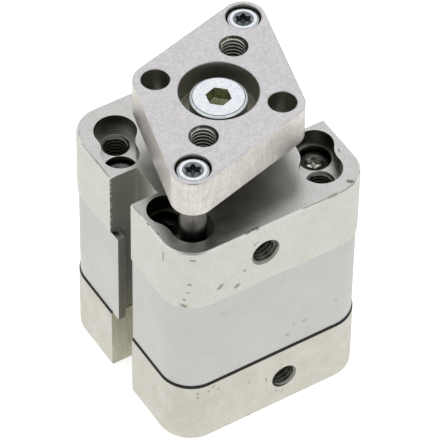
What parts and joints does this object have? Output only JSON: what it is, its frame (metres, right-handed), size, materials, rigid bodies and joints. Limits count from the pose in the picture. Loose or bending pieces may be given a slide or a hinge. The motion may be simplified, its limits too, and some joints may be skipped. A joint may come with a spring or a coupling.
{
  "type": "compact pneumatic cylinder",
  "caption": "Short square pneumatic cylinder with sensor slots, side air ports and a rounded diamond plate on its rod, guided so that the plate slides without turning.",
  "frame": {"origin": "centre of the rear cover's outer face, on the rod's axis", "axes": "+Z along the rod, out of the body; -Y is the side with the air ports; sensor slots on the +X and -X sides"},
  "size_m": [0.0396, 0.0396, 0.0637],
  "materials": {
    "cover_aluminium": "satin, milled, with small nicks",
    "barrel_aluminium": "satin anodised extrusion",
    "plate_aluminium": "satin anodised",
    "piston_aluminium": "turned",
    "zinc_steel": "bright zinc plate",
    "rod_steel": "ground and polished",
    "bush_bronze": "sintered bronze",
    "seal_rubber": "moulded",
    "ring_polymer": "filled polymer",
    "magnet_composite": "plastic-bonded ferrite"
  },
  "bodies": {
    "cylinder_body": {"front_cover": "cover_aluminium", "barrel": "barrel_aluminium", "rear_cover": "cover_aluminium", "rear_gasket": "seal_rubber", "front_o_ring": "seal_rubber", "front_cover_screws": "zinc_steel", "rear_cover_screws": "zinc_steel", "rod_bush": "bush_bronze", "rod_seal": "seal_rubber", "guide_bush_left": "bush_bronze", "guide_bush_right": "bush_bronze", "front_damper": "seal_rubber", "rear_damper": "seal_rubber"},
    "piston_assembly": {"piston_rod": "rod_steel", "piston_front_half": "piston_aluminium", "piston_rear_half": "piston_aluminium", "piston_magnet": "magnet_composite", "piston_guide_ring": "ring_polymer", "piston_seal_front": "seal_rubber", "piston_seal_rear": "seal_rubber", "piston_screw": "zinc_steel", "guide_rod_left": "rod_steel", "guide_rod_right": "rod_steel", "guide_plate": "plate_aluminium", "plate_screw": "zinc_steel", "guide_rod_screws": "zinc_steel"}
  },
  "joints": [
    {"name": "piston_slide", "type": "slide", "parent": "cylinder_body", "child": "piston_assembly", "axis": [0, 0, 1], "range_m": [0, 0.01]}
  ]
}
